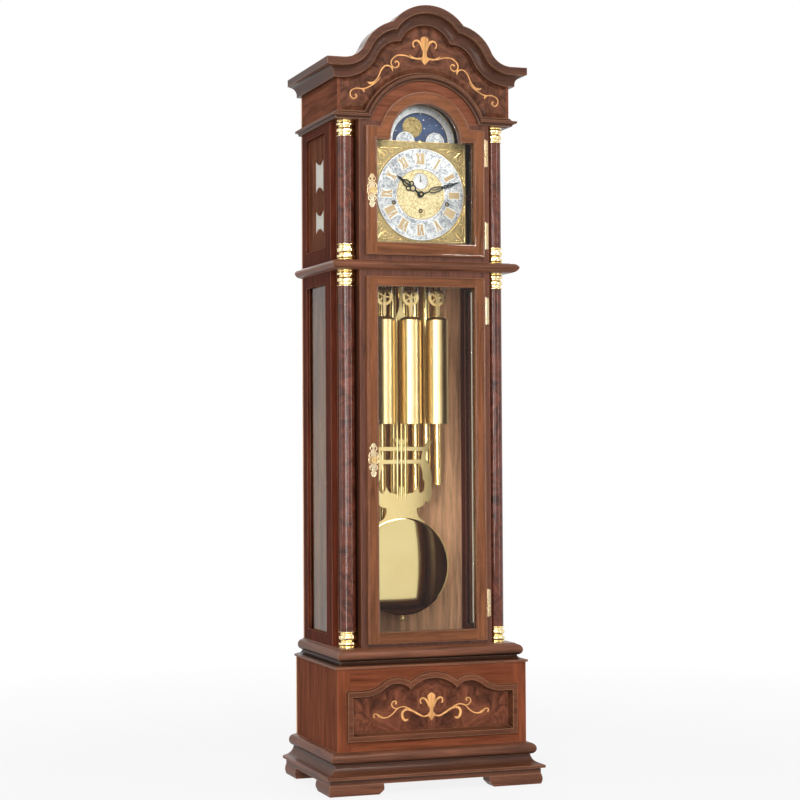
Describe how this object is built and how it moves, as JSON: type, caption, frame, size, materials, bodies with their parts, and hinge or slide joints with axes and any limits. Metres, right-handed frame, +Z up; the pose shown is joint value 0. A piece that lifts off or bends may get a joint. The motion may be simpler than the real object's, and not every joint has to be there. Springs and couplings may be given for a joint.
{
  "type": "longcase clock",
  "caption": "Longcase clock with an arched crown, columned corners, glazed hood and trunk doors, moon dial, lyre pendulum, cable weights and tubular bells.",
  "frame": {"origin": "centre of the overall box on the floor", "axes": "+Z up, the dial and doors face -Y, +X to the viewer's right"},
  "size_m": [0.617, 0.4206, 2.1],
  "materials": {
    "case_wood": "polished reddish walnut",
    "burl": "polished burl veneer",
    "inner_wood": "satin light walnut",
    "brass": "polished",
    "brass_gilt": "satin",
    "silvered": "satin",
    "steel": "polished",
    "glass": "clear",
    "cloth": "woven grey cloth",
    "moon_blue": "satin",
    "hand_black": "satin"
  },
  "bodies": {
    "case": {"bracket_feet": "case_wood", "plinth_moulding": "case_wood", "base_boards": "case_wood", "base_panel_moulding": "case_wood", "base_burl_panel": "burl", "base_top_moulding": "case_wood", "side_frames": "case_wood", "trunk_side_glass": "glass", "front_frames": "case_wood", "corner_posts": "case_wood", "columns": "burl", "capitals": "brass", "waist_moulding": "case_wood", "hood_side_frets": "case_wood", "hood_side_cloths": "cloth", "hood_cornice": "case_wood", "frieze_boards": "case_wood", "frieze_panel": "burl", "crown_moulding": "case_wood", "inner_boards": "inner_wood", "back_panel": "inner_wood", "case_hinges": "brass", "dial_plate": "brass", "dial_rings": "silvered", "dial_centre": "brass_gilt", "movement_frame": "brass", "tubular_bells": "brass", "tube_rack": "inner_wood", "cable_left": "steel", "cable_middle": "steel", "cable_right": "steel"},
    "hood_door": {"hood_door_frame": "case_wood", "hood_door_glass": "glass", "hood_door_fittings": "brass"},
    "hood_key": {"hood_key": "brass"},
    "trunk_door": {"trunk_door_frame": "case_wood", "trunk_door_glass": "glass", "trunk_door_fittings": "brass"},
    "trunk_key": {"trunk_key": "brass"},
    "minute": {"minute_train": "brass", "minute_hand": "hand_black"},
    "hour": {"hour_wheel": "brass", "hour_hand": "hand_black"},
    "minute_wheel": {"minute_wheel": "brass"},
    "third": {"third_wheel": "brass"},
    "escape": {"escape_wheel": "brass", "second_hand": "hand_black"},
    "moon": {"moon_disc": "moon_blue"},
    "anchor": {"anchor": "steel"},
    "pendulum": {"pendulum_lyre": "brass", "pendulum_bob": "brass"},
    "weight_left": {"weight_left": "brass"},
    "pulley_left": {"pulley_left": "brass"},
    "barrel_left": {"barrel_left": "brass"},
    "weight_middle": {"weight_middle": "brass"},
    "pulley_middle": {"pulley_middle": "brass"},
    "barrel_middle": {"barrel_middle": "brass"},
    "weight_right": {"weight_right": "brass"},
    "pulley_right": {"pulley_right": "brass"},
    "barrel_right": {"barrel_right": "brass"}
  },
  "joints": [
    {"name": "hood_door_hinge", "type": "hinge", "parent": "case", "child": "hood_door", "pos_m": [0.174, -0.13375, 1.6], "axis": [0, 0, 1], "range_deg": [0, 105]},
    {"name": "trunk_door_hinge", "type": "hinge", "parent": "case", "child": "trunk_door", "pos_m": [0.174, -0.13375, 0.88], "axis": [0, 0, 1], "range_deg": [0, 105]},
    {"name": "hood_key_turn", "type": "hinge", "parent": "hood_door", "child": "hood_key", "pos_m": [-0.154, -0.145, 1.598], "axis": [0, 1, 0], "range_deg": [0, 90]},
    {"name": "trunk_key_turn", "type": "hinge", "parent": "trunk_door", "child": "trunk_key", "pos_m": [-0.154, -0.145, 0.877], "axis": [0, 1, 0], "range_deg": [0, 90]},
    {"name": "minute_turn", "type": "hinge", "parent": "case", "child": "minute", "pos_m": [0, -0.06, 1.598], "axis": [0, 1, 0], "continuous": true},
    {"name": "hour_turn", "type": "hinge", "parent": "case", "child": "hour", "pos_m": [0, -0.08, 1.598], "axis": [0, 1, 0], "continuous": true},
    {"name": "minute_wheel_turn", "type": "hinge", "parent": "case", "child": "minute_wheel", "pos_m": [0.01663, -0.07, 1.5884], "axis": [0, 1, 0], "continuous": true},
    {"name": "third_wheel_turn", "type": "hinge", "parent": "case", "child": "third", "pos_m": [0.0235, -0.01, 1.6203], "axis": [0, 1, 0], "continuous": true},
    {"name": "escape_wheel_turn", "type": "hinge", "parent": "case", "child": "escape", "pos_m": [0, -0.01, 1.634], "axis": [0, 1, 0], "continuous": true},
    {"name": "moon_turn", "type": "hinge", "parent": "case", "child": "moon", "pos_m": [0, -0.09025, 1.735], "axis": [0, 1, 0], "continuous": true},
    {"name": "pendulum_swing", "type": "hinge", "parent": "case", "child": "pendulum", "pos_m": [0, 0.07725, 1.668], "axis": [0, 1, 0], "range_deg": [-2, 2]},
    {"name": "anchor_rock", "type": "hinge", "parent": "case", "child": "anchor", "pos_m": [0, 0, 1.668], "axis": [0, 1, 0], "range_deg": [-2, 2]},
    {"name": "weight_left_drop", "type": "slide", "parent": "case", "child": "weight_left", "axis": [0, 0, -1], "range_m": [-0.03, 0.55], "deforming": ["cable_left"]},
    {"name": "pulley_left_turn", "type": "hinge", "parent": "weight_left", "child": "pulley_left", "pos_m": [-0.077, -0.00775, 1.324], "axis": [0, 1, 0], "range_deg": [-1434, 80]},
    {"name": "barrel_left_turn", "type": "hinge", "parent": "case", "child": "barrel_left", "pos_m": [-0.077, -0.00775, 1.5735], "axis": [0, 1, 0], "range_deg": [-2868, 158]},
    {"name": "weight_middle_drop", "type": "slide", "parent": "case", "child": "weight_middle", "axis": [0, 0, -1], "range_m": [-0.03, 0.55], "deforming": ["cable_middle"]},
    {"name": "pulley_middle_turn", "type": "hinge", "parent": "weight_middle", "child": "pulley_middle", "pos_m": [0, -0.00775, 1.324], "axis": [0, 1, 0], "range_deg": [-1434, 80]},
    {"name": "barrel_middle_turn", "type": "hinge", "parent": "case", "child": "barrel_middle", "pos_m": [0, -0.00775, 1.553], "axis": [0, 1, 0], "range_deg": [-2868, 158]},
    {"name": "weight_right_drop", "type": "slide", "parent": "case", "child": "weight_right", "axis": [0, 0, -1], "range_m": [-0.03, 0.55], "deforming": ["cable_right"]},
    {"name": "pulley_right_turn", "type": "hinge", "parent": "weight_right", "child": "pulley_right", "pos_m": [0.077, -0.00775, 1.324], "axis": [0, 1, 0], "range_deg": [-1434, 80]},
    {"name": "barrel_right_turn", "type": "hinge", "parent": "case", "child": "barrel_right", "pos_m": [0.077, -0.00775, 1.5735], "axis": [0, 1, 0], "range_deg": [-2868, 158]}
  ],
  "couplings": [
    {"joint": "hour_turn", "follows": "minute_turn", "ratio": 0.083333},
    {"joint": "minute_wheel_turn", "follows": "minute_turn", "ratio": -0.33333},
    {"joint": "third_wheel_turn", "follows": "minute_turn", "ratio": -8},
    {"joint": "escape_wheel_turn", "follows": "minute_turn", "ratio": 60},
    {"joint": "moon_turn", "follows": "minute_turn", "ratio": 0.00070621},
    {"joint": "anchor_rock", "follows": "pendulum_swing", "ratio": 1},
    {"joint": "pulley_left_turn", "follows": "weight_left_drop", "rad_per_m": -45.455},
    {"joint": "barrel_left_turn", "follows": "weight_left_drop", "rad_per_m": -90.909},
    {"joint": "pulley_middle_turn", "follows": "weight_middle_drop", "rad_per_m": -45.455},
    {"joint": "barrel_middle_turn", "follows": "weight_middle_drop", "rad_per_m": -90.909},
    {"joint": "pulley_right_turn", "follows": "weight_right_drop", "rad_per_m": -45.455},
    {"joint": "barrel_right_turn", "follows": "weight_right_drop", "rad_per_m": -90.909}
  ]
}
